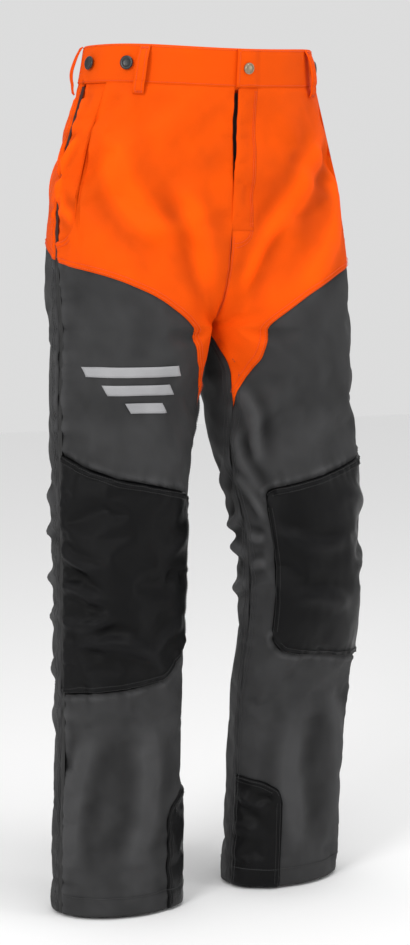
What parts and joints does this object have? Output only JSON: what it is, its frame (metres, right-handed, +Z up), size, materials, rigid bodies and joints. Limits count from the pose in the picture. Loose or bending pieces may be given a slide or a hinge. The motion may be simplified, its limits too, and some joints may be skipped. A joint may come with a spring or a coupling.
{
  "type": "protective trousers",
  "caption": "Chainsaw protective trousers with padded legs, knee and ankle patches, belt loops, brace buttons, slanted pockets and a zipped fly",
  "frame": {"origin": "centre of the waist opening, level with the top edge of the waistband at the sides", "axes": "+Z up along the body; the front faces -Y; the wearer's right leg is at -X"},
  "size_m": [0.436, 0.2672, 1.0902],
  "materials": {
    "orange_shell": "plain-weave polyester and cotton, slight sheen",
    "grey_shell": "matt plain weave",
    "black_reinforcement": "coated nylon, slight sheen",
    "cut_stopping_pad": "felted knitted fibre layers",
    "lining": "smooth polyester",
    "zip_tape": "woven tape",
    "button_plastic": "satin moulded",
    "coil_plastic": "moulded",
    "hardware_metal": "antique finish"
  },
  "bodies": {
    "garment": {"belt_loop_back_centre": "orange_shell", "belt_loop_back_left": "orange_shell", "belt_loop_back_right": "orange_shell", "belt_loop_front_left": "orange_shell", "belt_loop_front_right": "orange_shell", "belt_loop_side_left": "orange_shell", "belt_loop_side_right": "orange_shell", "brace_button_back_left": "button_plastic", "brace_button_back_right": "button_plastic", "brace_button_front_inner_left": "button_plastic", "brace_button_front_inner_right": "button_plastic", "brace_button_front_outer_left": "button_plastic", "brace_button_front_outer_right": "button_plastic", "fly_guard": "orange_shell", "front_left": "orange_shell", "front_right": "orange_shell", "knee_back_left": "grey_shell", "knee_back_right": "grey_shell", "knee_front_left": "grey_shell", "knee_front_right": "grey_shell", "knee_patch_left": "black_reinforcement", "knee_patch_right": "black_reinforcement", "leg_lining_left": "lining", "leg_lining_right": "lining", "pad_knee_left": "cut_stopping_pad", "pad_knee_right": "cut_stopping_pad", "pad_thigh_left": "cut_stopping_pad", "pad_thigh_right": "cut_stopping_pad", "pocket_bag_left": "lining", "pocket_bag_right": "lining", "pocket_facing_left": "orange_shell", "pocket_facing_right": "orange_shell", "seat_left": "orange_shell", "seat_right": "orange_shell", "snap_stud": "hardware_metal", "thigh_back_left": "grey_shell", "thigh_back_right": "grey_shell", "thigh_front_left": "grey_shell", "thigh_front_right": "grey_shell", "waistband_back": "orange_shell", "waistband_left": "orange_shell", "waistband_right": "orange_shell", "waistband_underlap": "orange_shell", "zip_coil_left": "coil_plastic", "zip_coil_right": "coil_plastic", "zip_tape_left": "zip_tape", "zip_tape_right": "zip_tape"},
    "shin_right": {"shin_front_right": "grey_shell", "shin_back_right": "grey_shell", "ankle_patch_right": "black_reinforcement", "pad_shin_right": "cut_stopping_pad"},
    "shin_left": {"shin_front_left": "grey_shell", "shin_back_left": "grey_shell", "ankle_patch_left": "black_reinforcement", "pad_shin_left": "cut_stopping_pad"},
    "fly_flap": {"fly_flap": "orange_shell", "waistband_tab": "orange_shell", "snap_cap": "hardware_metal"},
    "zip_slider": {"zip_slider": "hardware_metal", "zip_pull": "hardware_metal"}
  },
  "joints": [
    {"name": "knee_right", "type": "hinge", "parent": "garment", "child": "shin_right", "pos_m": [-0.118, -0.014, -0.64], "axis": [1, 0, 0], "range_deg": [0, 75], "deforming": ["knee_front_right", "knee_back_right", "knee_patch_right", "pad_knee_right", "leg_lining_right"]},
    {"name": "knee_left", "type": "hinge", "parent": "garment", "child": "shin_left", "pos_m": [0.128, -0.04, -0.64], "axis": [0.9962, 0.0872, 0], "range_deg": [0, 75], "deforming": ["knee_front_left", "knee_back_left", "knee_patch_left", "pad_knee_left", "leg_lining_left"]},
    {"name": "fly_flap_fold", "type": "hinge", "parent": "garment", "child": "fly_flap", "pos_m": [0.0254, -0.11347, -0.05], "axis": [-0.0274, -0.1075, 0.9938], "range_deg": [0, 50]},
    {"name": "zip_slide", "type": "slide", "parent": "garment", "child": "zip_slider", "axis": [0, 0.0966, -0.9953], "range_m": [0, 0.135]}
  ]
}
